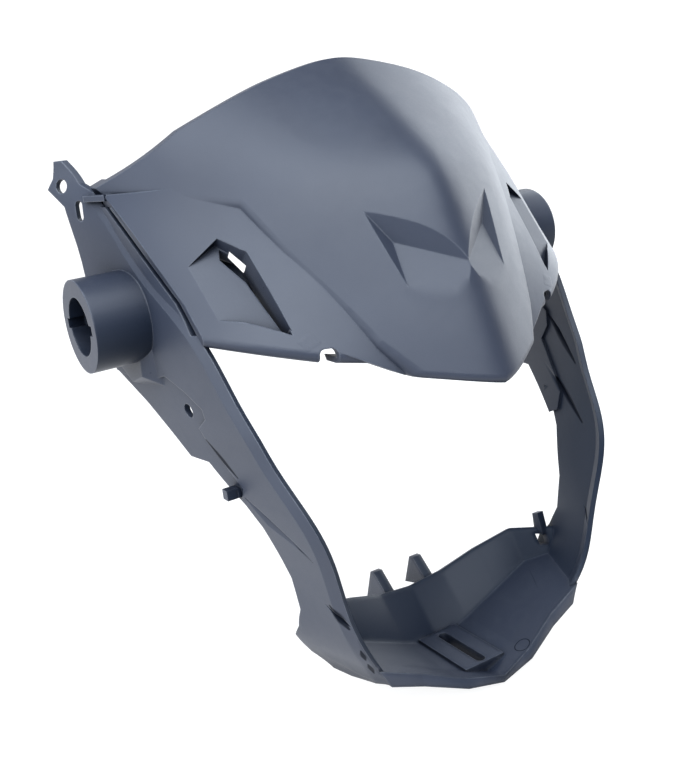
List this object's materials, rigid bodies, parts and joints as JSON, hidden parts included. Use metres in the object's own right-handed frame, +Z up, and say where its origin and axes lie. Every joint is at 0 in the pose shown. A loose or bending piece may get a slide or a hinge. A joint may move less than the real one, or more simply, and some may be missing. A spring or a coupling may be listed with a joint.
{
  "type": "headlight cowl",
  "caption": "Moulded headlight cowl for a small motorbike: a swept shield with side wings over an open lamp window, legs down to a chin tray, and round turn-signal bosses.",
  "frame": {"origin": "middle of the slot in the chin pad, on the pad's top face", "axes": "+Z up as fitted, -Y the way the cowl faces, X across between the turn-signal bosses"},
  "size_m": [0.284, 0.1873, 0.311],
  "materials": {
    "shell": "satin moulded, dark blue-grey"
  },
  "bodies": {
    "root": {"headlight_cowl": "shell"}
  },
  "joints": []
}
